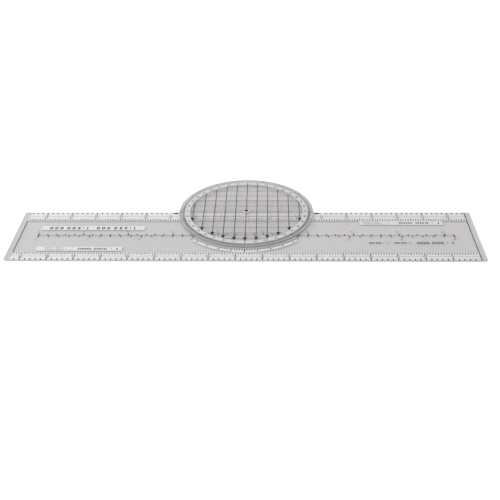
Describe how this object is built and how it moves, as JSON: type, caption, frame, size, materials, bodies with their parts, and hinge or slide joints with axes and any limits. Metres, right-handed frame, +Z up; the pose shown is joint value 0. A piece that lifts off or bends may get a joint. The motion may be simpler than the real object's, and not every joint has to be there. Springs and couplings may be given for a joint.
{
  "type": "navigation plotter",
  "caption": "Clear chart ruler with mile scales along both edges and a clear compass disc that turns on a brass eyelet at the far edge.",
  "frame": {"origin": "on the pivot axis of the compass disc, in the plane of the ruler sheet's underside", "axes": "+X along the ruler to the right, +Y across the far straight edge towards the overhanging disc, +Z up through the printed faces"},
  "size_m": [0.3302, 0.1142, 0.0031],
  "materials": {
    "clear_sheet": "clear polished sheet",
    "clear_disc": "clear polished sheet",
    "brass": "bright rolled brass",
    "nylon": "natural nylon",
    "white_ink": "screen-printed white ink",
    "ring_ink": "thin screen-printed white ink",
    "grey_ink": "screen-printed grey ink",
    "black_ink": "screen-printed black ink"
  },
  "bodies": {
    "ruler": {"sheet": "clear_sheet", "pivot_eyelet": "brass", "spacer_washer": "nylon", "far_band": "white_ink", "near_band": "white_ink", "title_strip": "white_ink", "far_note_strip": "white_ink", "near_note_strip": "white_ink", "index_arc": "white_ink", "band_rules": "grey_ink", "far_coarse_row": "black_ink", "far_fine_row": "black_ink", "near_coarse_row": "black_ink", "near_fine_row": "black_ink", "centre_row": "black_ink", "end_lines": "black_ink", "edge_arrow": "black_ink", "index_marks": "black_ink"},
    "disc": {"compass_disc": "clear_disc", "compass_ring": "ring_ink", "degree_marks": "black_ink", "course_grid": "black_ink", "ring_index": "black_ink"}
  },
  "joints": [
    {"name": "disc_turn", "type": "hinge", "parent": "ruler", "child": "disc", "pos_m": [0, 0, 0], "axis": [0, 0, 1], "continuous": true}
  ]
}
